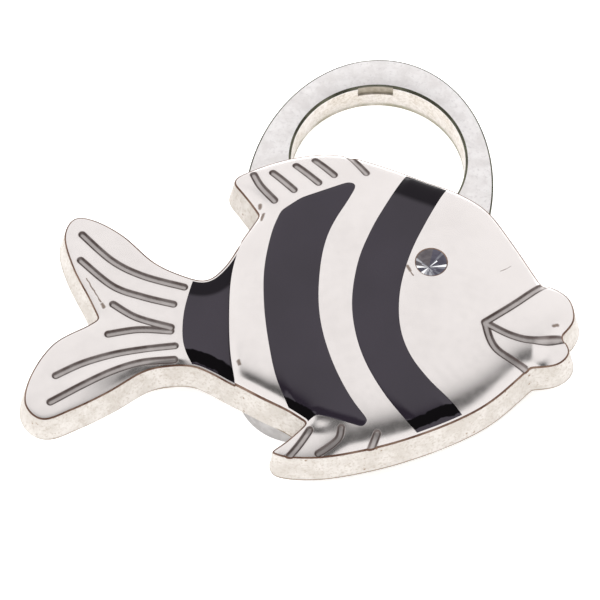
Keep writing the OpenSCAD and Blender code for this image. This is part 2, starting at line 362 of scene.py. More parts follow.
def lip_share(points):
    """1 on the body, less on the tip of the lower lip, which is nearly flat."""
    x, y = points.T
    above = smooth_step(y - MOUTH_SLOPE * (x - MOUTH_X), -LIP_HALF_SPAN, LIP_HALF_SPAN)
    return 1 - LIP_LOSS * smooth_step(x, *LIP_X) * (1 - above)


def smooth_height(points, on_tail):
    """Height of the face with nothing cut into it."""
    x, y = points.T
    steep = (1 - smooth_step(x, *STEEP_X)) * (1 - smooth_step(y, *STEEP_Y))
    swell = body_pillow.at(points) * (1 - steep) + steep_pillow.at(points) * steep
    body = EDGE_Z + DOME_H * swell * fin_share(points) * lip_share(points)
    tail = EDGE_Z - TAIL_DROP + TAIL_DOME_H * tail_pillow.at(points) + tail_ridge(points)
    return np.where(on_tail, tail, body)


# ---------------------------------------------------------------- plan of the face

stem_stripe = np.vstack([curve(STEM_FRONT), rear_edge[::-1]])
rear_stripe = np.vstack([curve(REAR_LEFT), REAR_FOOT, curve(REAR_RIGHT)[::-1], REAR_HEAD])
rear_stripe = eased(evenly(rear_stripe, 0.1, True), 5)
front_stripe = np.vstack([curve(FRONT_LEFT), curve(FRONT_RIGHT)[::-1]])
STRIPES = {"stem_enamel": stem_stripe, "rear_enamel": rear_stripe, "front_enamel": front_stripe}


def inset_loop(depth, gap):
    """The face outline moved inward, without the points that fold over in its corners."""
    moved = face_loop - outward * depth
    kept = moved[signed_inset(moved) > depth - 0.01]
    return evenly(kept, gap, True)


def rows_beside(line, offsets, closed):
    """Rows of points along both sides of a line."""
    left = normals(line, closed)
    return np.vstack([line + left * s * o for o in offsets for s in (-1, 1)])


def thinned(points, fixed, gap_of):
    """Points without those closer than their own gap to one kept before. The fixed stay."""
    cell = 0.5
    kept = [tuple(p) for p in fixed]
    bins = {}
    for p in kept:
        bins.setdefault((int(p[0] // cell), int(p[1] // cell)), []).append(p)
    for p, gap in zip(points, gap_of):
        i, j = int(p[0] // cell), int(p[1] // cell)
        near = (q for a in (i - 1, i, i + 1) for b in (j - 1, j, j + 1)
                for q in bins.get((a, b), ()))
        if all((q[0] - p[0]) ** 2 + (q[1] - p[1]) ** 2 >= gap * gap for q in near):
            kept.append((p[0], p[1]))
            bins.setdefault((i, j), []).append((p[0], p[1]))
    return kept


def triangulated(fixed_lines, points, gaps):
    """Delaunay triangles over points, with the fixed lines as edges: (points, triangles)."""
    fixed = []
    edges = []
    for line, closed in fixed_lines:
        start = len(fixed)
        fixed += [tuple(p) for p in line]
        edges += [(start + k, start + k + 1) for k in range(len(line) - 1)]
        if closed:
            edges.append((len(fixed) - 1, start))
    everything = thinned(points, fixed, gaps)
    corners = [Vector(p) for p in everything]
    made = geometry.delaunay_2d_cdt(corners, edges, [], 0, 1e-5, False)
    return np.array([tuple(v) for v in made[0]]), np.array([tuple(f) for f in made[2]])


def hex_grid(gap):
    """Points of equal triangles over the whole outline's box."""
    low, high = face_loop.min(0), face_loop.max(0)
    rows = []
    for k, y in enumerate(np.arange(low[1], high[1], gap * math.sin(math.radians(60)))):
        x = np.arange(low[0] + (k % 2) * gap / 2, high[0], gap)
        rows.append(np.column_stack([x, np.full(len(x), y)]))
    return np.vstack(rows)


def plan_of_face():
    """Triangles of the face, fine along its edge, its stripes and its engraved lines."""
    stripe_sides = [evenly(curve(s), EDGE_GAP, False)
                    for s in (BODY_REAR_EDGE, STEM_FRONT, FRONT_LEFT, FRONT_RIGHT)]
    inner = []
    for line in stripe_sides:
        inner.append((line[signed_inset(line) > ENAMEL_RIM - 0.15], False))
    rear_loop = evenly(rear_stripe, EDGE_GAP, True)
    rear_inset = signed_inset(rear_loop)
    start = int(np.argmin(rear_inset))
    rear_loop = np.roll(rear_loop, -start, axis=0)
    rear_inset = np.roll(rear_inset, -start)
    inner.append((rear_loop[rear_inset > ENAMEL_RIM - 0.15], False))
    lines = [(face_loop, True), (inset_loop(EDGE_LINE, EDGE_GAP), True),
             (inset_loop(ENAMEL_RIM, EDGE_GAP), True)] + inner
    eye = eye_centre + stone_radius * circle(64)
    lines.append((eye, True))

    points, gaps = [], []

    def add(rows, gap):
        rows = rows[signed_inset(rows) > EDGE_LINE + 0.06]
        points.append(rows)
        gaps.append(np.full(len(rows), gap))

    for g in groove_lines:
        add(g, FINE_GAP)
        add(rows_beside(g, GROOVE_ROWS, False), FINE_GAP)
        for end, way in ((g[0], g[0] - g[1]), (g[-1], g[-1] - g[-2])):
            turn = math.atan2(way[1], way[0]) + np.radians(np.linspace(-80, 80, 9))
            fan = np.column_stack([np.cos(turn), np.sin(turn)])
            for r in GROOVE_ROWS:
                add(end + r * fan, FINE_GAP)
    for line, _ in inner:
        add(rows_beside(line, (0.1, 0.25, 0.5), False), 0.09)
    add(eye_centre + (stone_radius + 0.12) * circle(64), 0.09)
    for depth, gap in ((0.25, 0.27), (0.6, 0.3), (0.85, 0.32), (1.15, 0.34), (1.5, 0.36),
                       (1.9, 0.38), (2.35, 0.4)):
        add(inset_loop(depth, gap), 0.16)
    add(hex_grid(0.45), 0.3)
    return triangulated(lines, np.vstack(points), np.concatenate(gaps))


def circle(count):
    """Points of a circle of radius 1, anticlockwise."""
    turn = np.arange(count) * 2 * math.pi / count
    return np.column_stack([np.cos(turn), np.sin(turn)])


# Where the fish's frame lies in the row's frame, from the CAD casting's box
outline_low = np.vstack([spline(s, 3) for s in OUTLINE]).min(0)
SHIFT = np.array([fish_low.x, fish_low.y]) / MM - (outline_low - DRAFT)


def row_points(plane, z):
    """Points of the fish's frame at heights z, in the row's metres."""
    return np.column_stack([(plane + SHIFT) * MM, np.broadcast_to(z, len(plane)) * MM])


def fish_point(corner):
    """A place in the row's frame as a point of the fish's frame."""
    return np.array([corner.x, corner.y]) / MM - SHIFT


eye_centre = fish_point((stone_low + stone_high) / 2)
stone_radius = (stone_high.x - stone_low.x) / 2 / MM
STONE_SEAT_Z = stone_low.z / MM

# ---------------------------------------------------------------- meshes


def new_piece(name, vertices, faces, materials, indices=None, sharp=35):
    """A mesh object from points in metres, smooth but for edges sharper than an angle."""
    mesh = bpy.data.meshes.new(name)
    mesh.from_pydata([tuple(v) for v in vertices], [], [list(map(int, f)) for f in faces])
    for m in materials:
        mesh.materials.append(m)
    if indices is not None:
        mesh.polygons.foreach_set("material_index", np.asarray(indices, np.int32))
    mesh.validate()
    mesh.shade_smooth()
    mesh.set_sharp_from_angle(angle=math.radians(sharp))
    mesh.update()
    piece = bpy.data.objects.new(name, mesh)
    bpy.context.scene.collection.objects.link(piece)
    return piece


def sides_of(t):
    """The three directed edges of a triangle."""
    return (t[0], t[1]), (t[1], t[2]), (t[2], t[0])


def band(low, high):
    """Quads between two closed rows of vertices."""
    count = len(low)
    return [(low[k], low[(k + 1) % count], high[(k + 1) % count], high[k]) for k in range(count)]


def boundary(triangles, chosen):
    """Directed edges of the chosen triangles that no other chosen triangle shares."""
    edges = {(int(a), int(b)): True for t in triangles[chosen] for a, b in sides_of(t)}
    return [e for e in edges if (e[1], e[0]) not in edges]


def chain(edges):
    """Directed edges put end to end: one list of points for each closed loop."""
    after = dict(edges)
    loops = []
    while after:
        start = next(iter(after))
        loop = [start]
        at = after.pop(start)
        while at != start:
            loop.append(at)
            at = after.pop(at)
        loops.append(loop)
    return loops


def wound(points, triangles):
    """Triangles turned to run anticlockwise."""
    a, b, c = (points[triangles[:, k]] for k in range(3))
    area = (b[:, 0] - a[:, 0]) * (c[:, 1] - a[:, 1]) - (c[:, 0] - a[:, 0]) * (b[:, 1] - a[:, 1])
    keep = np.abs(area) > 1e-7
    triangles, area = triangles[keep], area[keep]
    triangles[area < 0] = triangles[area < 0][:, ::-1]
    return triangles


class FishPlan:
    """The face's triangles, sorted into metal and stripes, and the heights of their corners."""

    def __init__(self):
        self.points, triangles = plan_of_face()
        triangles = wound(self.points, triangles)
        middle = self.points[triangles].mean(1)
        inset = signed_inset(middle)
        triangles, middle, inset = (a[inset > 0] for a in (triangles, middle, inset))
        self.triangles = triangles
        self.region = np.full(len(triangles), "metal", dtype="U12")
        for name, loop in STRIPES.items():
            self.region[inside(middle, loop) & (inset > ENAMEL_RIM)] = name
        eye = np.hypot(*(middle - eye_centre).T) < stone_radius * math.cos(math.pi / 64)
        self.region[eye] = "eye"
        self.on_tail = inside(middle, tail_side)
        self.edge_line = inset < EDGE_LINE * 0.98
        self.inset = signed_inset(self.points)
        from_line = groove_distance(self.points)
        self.groove = 1 - smooth_step(from_line, GROOVE_FLOOR, GROOVE_W / 2)
        # the dark film is thinner along a line's middle and ends just outside the line
        self.film = 0.52 + 0.48 * smooth_step(from_line, 0.15, 0.45)
        self.film *= 1 - smooth_step(from_line, 0.58, 0.74)

    def metal_height(self, tail):
        return smooth_height(self.points, tail) - GROOVE_DEPTH * self.groove

    def enamel_height(self, tail, side):
        """Level with the metal at a stripe's sides, and fuller than it near the stripe's ends."""
        low = EDGE_Z - (TAIL_DROP if tail else 0)
        rise = TAIL_DOME_H if tail else DOME_H
        full = low + rise * enamel_pillow.at(self.points)
        metal = smooth_height(self.points, tail)
        return metal + (full - metal) * smooth_step(side, 0, 1.3) - 0.03


plan = FishPlan()


def foot_of_wall():
    """For each point of the outline, where the drafted wall under it ends.

    In a hollow corner the offset points would pass each other, so they share out the gap."""
    moved = face_loop + outward * DRAFT
    good = -signed_inset(moved) > DRAFT - 0.03
    at = np.arange(len(face_loop))
    around = np.r_[at[good] - len(at), at[good], at[good] + len(at)]
    places = np.vstack([moved[good]] * 3)
    foot = np.column_stack([np.interp(at, around, places[:, k]) for k in (0, 1)])
    return eased(foot, 2)


POLISHED, CAST, DARK_EDGE = range(3)


def fish_body(materials):
    """The casting: face with engraved lines and pockets, drafted side wall, back with holes."""
    points, triangles = plan.points, plan.triangles
    heights = {False: plan.metal_height(False), True: plan.metal_height(True)}
    floors = {t: smooth_height(points, t) - ENAMEL_H for t in (False, True)}
    vertices, index, kind = [], {}, []

    def vertex(i, level, tail):
        key = (int(i), level, bool(tail))
        if key not in index:
            index[key] = len(vertices)
            if level == "top":
                z = heights[bool(tail)][i]
            elif level == "eye":
                z = STONE_SEAT_Z - 0.2
            else:
                z = floors[bool(tail)][i]
            vertices.append((*points[i], z))
            kind.append(plan.film[i] if level == "top" else 1.0)
        return index[key]

    def level_of(region):
        return "top" if region == "metal" else ("eye" if region == "eye" else "floor")

    faces, materials_of = [], []
    sides = {}
    for t, region, tail, line in zip(triangles, plan.region, plan.on_tail, plan.edge_line):
        level = level_of(region)
        faces.append([vertex(i, level, tail) for i in t])
        materials_of.append(DARK_EDGE if line else POLISHED)
        for a, b in sides_of(t):
            sides[(int(a), int(b))] = (level, bool(tail))
    outer = []
    for (a, b), mine in sides.items():
        other = sides.get((b, a))
        if other is None:
            outer.append((a, b))
            continue
        if other == mine or (b, a) < (a, b):
            continue
        corners = [vertex(a, *mine), vertex(b, *mine), vertex(b, *other), vertex(a, *other)]
        faces.append(corners[::-1])
        materials_of.append(POLISHED)
    loop = chain(outer)[0]
    add_wall(loop, sides, vertex, vertices, kind, faces, materials_of)
    made = np.array(vertices)
    piece = new_piece("fish_casting", row_points(made[:, :2], made[:, 2]), faces, materials,
                      materials_of, sharp=38)
    recess = piece.data.attributes.new("recess", "FLOAT", "POINT")
    recess.data.foreach_set("value", np.array(kind, np.float32))
    return piece


# Where the straight part of the wall starts: its share of the draft and its depth below the edge
WALL_START = 0.14
WALL_DROP = 0.4


def add_wall(loop, sides, vertex, vertices, kind, faces, materials_of):
    """The side wall under the face's edge, its rounded foot, and the flat back with its holes."""
    points = plan.points
    here = points[loop]
    way = foot_of_wall()[nearest_point(here, face_loop)] - here
    count = len(loop)
    following = [loop[(k + 1) % count] for k in range(count)]
    upper = [vertex(a, *sides[(a, b)]) for a, b in zip(loop, following)]
    top = np.array([vertices[v][2] for v in upper])
    for k in range(count):
        # the tail's edge meets the body's edge in one upright face
        before = vertex(loop[k], *sides[(loop[k - 1], loop[k])])
        if before != upper[k]:
            upper[k] = min(before, upper[k], key=lambda v: vertices[v][2])
            top[k] = vertices[upper[k]][2]
    rows = [(0.07, 0.0, -0.12), (WALL_START, 0.0, -WALL_DROP)]
    rows += [(WALL_START + (1 - WALL_START) * s, s, 0.0) for s in (0.2, 0.4, 0.6, 0.8)]
    previous = upper
    for number, (out, down, near_top) in enumerate(rows + [(1.0, 0.96, 0.0), (0.86, 1.0, 0.0)]):
        z = top + near_top if near_top else (top - WALL_DROP) * (1 - down) + BACK_Z * down
        place = here + way * out
        start = len(vertices)
        for p, h in zip(place, z):
            vertices.append((p[0], p[1], h))
            kind.append(0.0)
        row = list(range(start, start + count))
        faces += band(row, previous)
        materials_of += [DARK_EDGE if number == 0 else CAST] * count
        previous = row
    add_back(previous, vertices, kind, faces, materials_of)


def add_back(rim, vertices, kind, faces, materials_of):
    """The flat back inside the rim, with a blind hole for each rivet."""
    rim_plane = np.array([vertices[v][:2] for v in rim])
    holes = [c + RIVET_D / 2 * circle(32) for c in rivet_centres]
    fixed = [(rim_plane, True)] + [(h, True) for h in holes]
    fill = hex_grid(2.0)
    fill = fill[inside(fill, rim_plane)]
    fill = fill[distance(fill, rim_plane, True) > 1]
    for c in rivet_centres:
        fill = fill[np.hypot(*(fill - c).T) > RIVET_D / 2 + 0.6]
    plane, triangles = triangulated(fixed, fill, np.full(len(fill), 0.5))
    triangles = wound(plane, triangles)
    middle = plane[triangles].mean(1)
    keep = inside(middle, rim_plane)
    for c in rivet_centres:
        keep &= np.hypot(*(middle - c).T) > RIVET_D / 2 * math.cos(math.pi / 32)
    triangles = triangles[keep]
    known = {tuple(np.round(p, 6)): v for p, v in zip(rim_plane, rim)}
    index = {}

    def corner(i):
        if i not in index:
            key = tuple(np.round(plane[i], 6))
            if key in known:
                index[i] = known[key]
            else:
                index[i] = len(vertices)
                vertices.append((*plane[i], BACK_Z))
                kind.append(0.0)
        return index[i]

    used = {(int(a), int(b)) for t in triangles for a, b in sides_of(t)}
    for t in triangles:
        faces.append([corner(int(i)) for i in t][::-1])
        materials_of.append(CAST)
    for loop in chain([e for e in used if (e[1], e[0]) not in used]):
        if distance(plane[loop][:1], rim_plane, True)[0] < 1e-3:
            continue
        start = len(vertices)
        for i in loop:
            vertices.append((*plane[i], BACK_Z + RIVET_GRIP))
            kind.append(0.0)
        row = list(range(start, start + len(loop)))
        faces += band([corner(i) for i in loop], row) + [row]
        materials_of += [CAST] * (len(loop) + 1)


def enamel_fill(name, node, material):
    """One stripe: a solid that fills its pocket.

    Its points keep their distance from the fish's edge, by the back and by the belly."""
    chosen = plan.region == node
    tail = node == "stem_enamel"
    points, triangles = plan.points, plan.triangles[chosen]
    used = np.unique(triangles)
    number = {int(i): k for k, i in enumerate(used)}
    edges = boundary(plan.triangles, chosen)
    rim = np.vstack([points[loop + loop[:1]] for loop in chain(edges)])
    side = distance(points[used], rim)
    inset = plan.inset[used]
    top = plan.enamel_height(tail, side_distance(points, rim))[used]
    top -= 0.06 * np.exp(-side / 0.12)
    floor = smooth_height(points, tail)[used] - ENAMEL_H
    count = len(used)
    vertices = np.vstack([np.column_stack([points[used], top]),
                          np.column_stack([points[used], floor])])
    faces = [[number[int(i)] for i in t] for t in triangles]
    faces += [[number[int(i)] + count for i in t][::-1] for t in triangles]
    for a, b in edges:
        a, b = number[a], number[b]
        faces.append([b, a, a + count, b + count])
    piece = new_piece(name, row_points(vertices[:, :2], vertices[:, 2]), faces, [material])
    facing = outward[nearest_point(points[used], face_loop)][:, 1]
    for label, here in (("from_back", facing > 0), ("from_belly", facing <= 0)):
        run = piece.data.attributes.new(label, "FLOAT", "POINT")
        run.data.foreach_set("value", np.tile(np.where(here, inset, 20), 2).astype(np.float32))
    return piece


def side_distance(points, rim):
    """Distance from a stripe's long sides: the parts of its rim that aren't at the fish's edge."""
    sides = rim[signed_inset(rim) > ENAMEL_RIM + 0.15]
    nearest = nearest_point(points, sides)
    return np.hypot(*(points - sides[nearest]).T)


def lathe(name, centre, profile, material, segments=96, sharp=30):
    """A solid of revolution about an upright axis. The profile is (radius, z), bottom to top."""
    turn = circle(segments)
    vertices, faces, rows = [], [], []
    for radius, z in profile:
        if radius == 0:
            rows.append([len(vertices)])
            vertices.append((*centre, z))
        else:
            rows.append(list(range(len(vertices), len(vertices) + segments)))
            vertices += [(*(centre + radius * t), z) for t in turn]
    closed = profile[0][0] > 0
    pairs = list(zip(rows, rows[1:])) + ([(rows[-1], rows[0])] if closed else [])
    for low, high in pairs:
        for k in range(segments):
            n = (k + 1) % segments
            quad = [low[k % len(low)], low[n % len(low)], high[n % len(high)],
                    high[k % len(high)]]
            faces.append(list(dict.fromkeys(quad)))
    made = np.array(vertices)
    return new_piece(name, row_points(made[:, :2], made[:, 2]), faces, [material], sharp=sharp)


def cut(piece, cutter):
    """Takes one solid out of another."""
    step = piece.modifiers.new("cut", "BOOLEAN")
    step.operation = "DIFFERENCE"
    step.solver = "EXACT"
    step.object = cutter
    depsgraph = bpy.context.evaluated_depsgraph_get()
    result = bpy.data.meshes.new_from_object(piece.evaluated_get(depsgraph))
    piece.modifiers.clear()
    piece.data = result
    bpy.data.objects.remove(cutter)


# ---------------------------------------------------------------- ring, rivets, magnet, stone

# The plate is an oval that leans toward the head, cut off at PLATE_REACH from the hole's middle.
# The notch is as wide as CATCH_W above the lip, and its cutter reaches in to CLEAR_R.
HOLE_AT = np.array([10.9, 36.4])
HOLE_R = 14.8
PLATE_AT = np.array([9.6, 29.6])
PLATE_W = 41.5
PLATE_L = 54.8
PLATE_LEAN = math.radians(7.4)
PLATE_REACH = 22.5
RING_H = ring_high.z / MM
CATCH_TURN = 4
CATCH_W = 6.2
CATCH_DEPTH = 0.3
CLEAR_R = 11
LIP_H = 3.6
# The rivets' places: their distance from the middle of the hole and their angles round it
RIVET_RING_R = 18.3
RIVET_ANGLES = (215, 265, 315)
RIVET_HEAD_D = 3.8
RIVET_HEAD_H = 1.2
HEAD_RECESS = rivets_low.z / MM
rivet_centres = [HOLE_AT + RIVET_RING_R * np.array([math.cos(math.radians(a)),
                                                    math.sin(math.radians(a))])
                 for a in RIVET_ANGLES]


def plate_edge(ways):
    """Distance of the plate's outer edge from the middle of its hole along each unit vector."""
    c, s = math.cos(PLATE_LEAN), math.sin(PLATE_LEAN)
    turn = np.array([[c, s], [-s, c]])
    size = np.array([PLATE_W, PLATE_L]) / 2
    start = (HOLE_AT - PLATE_AT) @ turn / size
    step = ways @ turn / size
    a, b, c = (step**2).sum(1), step @ start, start @ start - 1
    return np.minimum((np.sqrt(b * b - a * c) - b) / a, PLATE_REACH)


def catch_block():
    """The curved space of the notch, used only to cut with."""
    half = math.asin(CATCH_W / 2 / (HOLE_R + CATCH_DEPTH))
    turns = math.radians(90 + CATCH_TURN) + np.linspace(-half, half, 25)
    ways = np.column_stack([np.cos(turns), np.sin(turns)])
    plane = np.vstack([HOLE_AT + (HOLE_R + CATCH_DEPTH) * ways, HOLE_AT + CLEAR_R * ways[::-1]])
    count = len(plane)
    corners = np.vstack([np.column_stack([plane, np.full(count, z)]) for z in (LIP_H, RING_H + 1)])
    faces = [list(range(count))[::-1], list(range(count, 2 * count))]
    faces += band(range(count), range(count, 2 * count))
    return new_piece("catch", row_points(corners[:, :2], corners[:, 2]), faces, [])


PLATE, BEVEL, NOTCH = range(3)


def opener_ring(materials):
    """The oval plate with its round hole, the notch above its lip, and countersunk rivet holes.

    The profile is (from the outer edge?, distance out from that edge or the hole, height)."""
    profile = [(False, 0.25, 0), (True, -0.3, 0), (True, -0.09, 0.09), (True, 0, 0.3),
               (True, 0, RING_H - 0.3), (True, -0.04, RING_H - 0.15), (True, -0.15, RING_H - 0.04),
               (True, -0.3, RING_H), (False, 0.4, RING_H), (False, 0.28, RING_H - 0.05),
               (False, 0.05, RING_H - 0.28), (False, 0, RING_H - 0.4), (False, 0, 0.25),
               (False, 0.08, 0.08)]
    bevels = (4, 5, 6, 8, 9, 10)  # counted along the profile
    segments = 360
    ways = circle(segments)
    edge_at = plate_edge(ways)
    vertices, faces, kinds = [], [], []
    for outer, out, z in profile:
        radius = (edge_at if outer else HOLE_R) + out
        ring = HOLE_AT + ways * np.broadcast_to(radius, segments)[:, None]
        vertices += [(*p, z) for p in ring]
    rows = [range(k * segments, (k + 1) * segments) for k in range(len(profile))]
    for number, row in enumerate(rows):
        faces += band(row, rows[(number + 1) % len(rows)])
        kinds += [BEVEL if number in bevels else PLATE] * segments
    made = np.array(vertices)
    piece = new_piece("cap_ring", row_points(made[:, :2], made[:, 2]), faces, materials, kinds)
    cut(piece, catch_block())
    for k, c in enumerate(rivet_centres):
        head = RIVET_HEAD_D / 2 + 0.05
        shank = RIVET_D / 2 + 0.05
        depth = HEAD_RECESS + RIVET_HEAD_H
        cut(piece, lathe(f"hole_{k}", c, [(0, -1), (head, -1), (head, depth), (shank, depth),
                                          (shank, RING_H + 1), (0, RING_H + 1)], None, 48))
    for polygon in piece.data.polygons:
        place = fish_point(polygon.center) - HOLE_AT
        in_notch = (HOLE_R + 0.05 < np.hypot(*place) < HOLE_R + CATCH_DEPTH + 0.02
                    and place[1] > HOLE_R * 0.9 and abs(polygon.normal.z) < 0.3
                    and LIP_H < polygon.center.z / MM < RING_H - 0.02)
        if in_notch:
            polygon.material_index = NOTCH
    piece.data.set_sharp_from_angle(angle=math.radians(28))
    return piece


def ring_rivets(material):
    """Three flat-headed rivets as one piece."""
    parts = []
    r, head, z0 = RIVET_D / 2, RIVET_HEAD_D / 2, HEAD_RECESS
    for k, c in enumerate(rivet_centres):
        profile = [(0, z0), (head - 0.5, z0 + 0.02), (head - 0.15, z0 + 0.1), (head, z0 + 0.3),
                   (head, z0 + RIVET_HEAD_H), (r, z0 + RIVET_HEAD_H),
                   (r, BACK_Z + RIVET_GRIP - 0.2), (r - 0.2, BACK_Z + RIVET_GRIP),
                   (0, BACK_Z + RIVET_GRIP)]
        parts.append(lathe(f"rivet_{k}", c, profile, material, 48))
    return joined("flat_rivets", parts, material)


def joined(name, parts, material):
    """Several pieces made into one."""
    vertices, faces = [], []
    for part in parts:
        start = len(vertices)
        vertices += [tuple(v.co) for v in part.data.vertices]
        faces += [[i + start for i in p.vertices] for p in part.data.polygons]
        bpy.data.objects.remove(part)
    return new_piece(name, vertices, faces, [material], sharp=30)


def rounded_disc(name, low, high, edge, material):
    """A disc with rounded rims that fills a CAD disc's box."""
    centre = fish_point((low + high) / 2)
    radius = (high.x - low.x) / 2 / MM
    z0, z1 = low.z / MM, high.z / MM
    turns = np.radians([0, 22.5, 45, 67.5, 90])
    profile = [(0, z0)]
    profile += [(radius - edge * (1 - math.sin(a)), z0 + edge * (1 - math.cos(a))) for a in turns]
    profile += [(radius - edge * (1 - math.cos(a)), z1 - edge * (1 - math.sin(a))) for a in turns]
    profile += [(0, z1)]
    return lathe(name, centre, profile, material, 128)


STONE_FACETS = 32
STONE_GIRDLE = 0.3
STONE_POINT = np.array([-0.4, -1.55])
NAVY, RIM = 1, 5
# Painted light and shade of each narrow facet's inner and outer part, anticlockwise from the
# head's side: a number in the list of the stone's tints. The dark tints are painted shade, the
# light and bright ones painted highlights.
STONE_INNER_SHADING = [2, 1, 1, 4, 2, 1, 1, 1, 0, 0, 0, 0, 0, 0, 0, 2,
               3, 0, 4, 1, 2, 4, 3, 3, 2, 3, 2, 1, 2, 1, 1, 4]
STONE_OUTER_SHADING = [1, 1, 1, 1, 2, 1, 1, 1, 0, 0, 0, 0, 0, 0, 0, 3,
               0, 0, 4, 1, 1, 4, 3, 2, 3, 2, 1, 2, 1, 1, 2, 4]


def eye_stone(materials):
    """A pointed stone: narrow facets up to the point and a thin girdle.

    Each facet's tint is painted light and shade: the stone's own smoky tint, with painted shade on
    the dark facets and painted highlights on the bright slivers."""
    base, peak = stone_low.z / MM, stone_high.z / MM
    girdle = base + STONE_GIRDLE
    count = STONE_FACETS
    turns = (np.arange(count) - 0.5) * 2 * math.pi / count
    outer = np.column_stack([np.cos(turns), np.sin(turns)])
    point = eye_centre + STONE_POINT

    def row(share, lift):
        at = point + share * (eye_centre + stone_radius * outer - point)
        return [(*p, peak + share * (girdle - peak) + lift) for p in at]

    vertices = [(*(eye_centre + stone_radius * 0.97 * p), base) for p in outer]
    vertices += row(1.0, 0) + row(0.94, 0.02) + row(0.5, 0.03) + row(0.06, 0)
    vertices += [(*eye_centre, base), (*point, peak)]
    faces, tints = [], []
    for k in range(count):
        m = (k + 1) % count
        for level, tint in enumerate((RIM, RIM, STONE_OUTER_SHADING[k], STONE_INNER_SHADING[k])):
            low, high = level * count, (level + 1) * count
            faces.append((low + k, low + m, high + m, high + k))
            tints.append(tint)
        faces += [(4 * count + k, 4 * count + m, 5 * count + 1), (m, k, 5 * count)]
        tints += [NAVY, RIM]
    made = np.array(vertices)
    piece = new_piece("faceted_eye", row_points(made[:, :2], made[:, 2]), faces, materials, tints)
    piece.data.shade_flat()
    return piece


# ---------------------------------------------------------------- materials


class Nodes:
    """Short ways to build one tree of shader nodes."""

    def __init__(self, tree):
        self.tree = tree

    def add(self, kind, **settings):
        node = self.tree.nodes.new(kind)
        for key, value in settings.items():
            setattr(node, key, value)
        return node

    def link(self, source, target):
        self.tree.links.new(source, target)

    def vector(self, operation, *values):
        node = self.add("ShaderNodeVectorMath", operation=operation)
        for socket, value in zip(node.inputs, values):
            if isinstance(value, tuple):
                socket.default_value = value
            else:
                self.link(value, socket)
        return node.outputs["Value" if operation in ("DISTANCE", "DOT_PRODUCT") else "Vector"]

    def ramp(self, value, low, high, out_low=0.0, out_high=1.0, smooth=True):
        node = self.add("ShaderNodeMapRange",
                        interpolation_type="SMOOTHSTEP" if smooth else "LINEAR")
        self.link(value, node.inputs["Value"])
        numbers = {"From Min": low, "From Max": high, "To Min": out_low, "To Max": out_high}
        for key, number in numbers.items():
            node.inputs[key].default_value = number
        return node.outputs["Result"]

    def maths(self, operation, a, b):
        node = self.add("ShaderNodeMath", operation=operation)
        for socket, value in zip(node.inputs, (a, b)):
            if isinstance(value, (int, float)):
                socket.default_value = value
            else:
                self.link(value, socket)
        return node.outputs[0]

    def blend(self, share, first, second):
        node = self.add("ShaderNodeMix", data_type="RGBA")
        self.link(share, node.inputs["Factor"])
        for socket, value in ((node.inputs[6], first), (node.inputs[7], second)):
            if isinstance(value, tuple):
                socket.default_value = (*value, 1)
            else:
                self.link(value, socket)
        return node.outputs[2]


class Material(Nodes):
    """One material, with noise and marks placed by where they are on the object."""

    def __init__(self, name):
        self.material = bpy.data.materials.new(name)
        self.material.use_nodes = True
        super().__init__(self.material.node_tree)
        self.shader = self.tree.nodes["Principled BSDF"]
        self.place = self.add("ShaderNodeTexCoord").outputs["Object"]

    def noise(self, scale, detail=3, roughness=0.5, distortion=0.0, output="Fac"):
        node = self.add("ShaderNodeTexNoise")
        self.link(self.place, node.inputs["Vector"])
        node.inputs["Scale"].default_value = scale
        node.inputs["Detail"].default_value = detail
        node.inputs["Roughness"].default_value = roughness
        node.inputs["Distortion"].default_value = distortion
        return node.outputs[output]

    def uneven(self, span, *noise):
        """Noise spread between the two values of a span."""
        return self.ramp(self.noise(*noise), 0.3, 0.7, *span)

    def cells(self, scale):
        """Distance from the middle of the nearest of many cells."""
        node = self.add("ShaderNodeTexVoronoi")
        self.link(self.place, node.inputs["Vector"])
        node.inputs["Scale"].default_value = scale
        return node.outputs["Distance"]

    def height(self):
        """How high each place is above the floor, in metres."""
        node = self.add("ShaderNodeSeparateXYZ")
        self.link(self.place, node.inputs[0])
        return node.outputs["Z"]

    def attribute(self, name):
        return self.add("ShaderNodeAttribute", attribute_name=name).outputs["Fac"]

    def streaks(self):
        """How strongly each place on the face is stained, with ragged edges."""
        flat = self.vector("MULTIPLY", self.place, (1, 1, 0))
        # the noise is about a half on average, so the streaks' ends move by half of it too
        wander = (RAGGED * MM, RAGGED * MM, 0)
        flat = self.vector("MULTIPLY_ADD", self.noise(1100, 2, output="Color"), wander, flat)
        stained = 0.0
        for start, end, half in STAINS:
            a, b = ((*((p + SHIFT + RAGGED / 2) * MM), 0.0) for p in (start, end))
            run = tuple(np.subtract(b, a))
            along = self.vector("DOT_PRODUCT", self.vector("SUBTRACT", flat, a),
                                tuple(np.array(run) / np.dot(run, run)))
            along = self.ramp(along, 0, 1, smooth=False)
            spread = self.add("ShaderNodeCombineXYZ")
            for socket in spread.inputs:
                self.link(along, socket)
            nearest = self.vector("MULTIPLY_ADD", spread.outputs[0], run, a)
            away = self.vector("DISTANCE", flat, nearest)
            spot = self.ramp(away, half * 0.5 * MM, half * 1.6 * MM, 0.8, 0)
            stained = self.maths("MAXIMUM", spot, stained)
        return stained

    def bump(self, height, strength, distance_mm):
        node = self.add("ShaderNodeBump")
        self.link(height, node.inputs["Height"])
        node.inputs["Strength"].default_value = strength
        node.inputs["Distance"].default_value = distance_mm * MM
        self.link(node.outputs["Normal"], self.shader.inputs["Normal"])

    def set(self, **values):
        for key, value in values.items():
            socket = self.shader.inputs[key.replace("_", " ")]
            if isinstance(value, (int, float)):
                socket.default_value = value
            elif isinstance(value, tuple):
                socket.default_value = (*value, 1)
            else:
                self.link(value, socket)


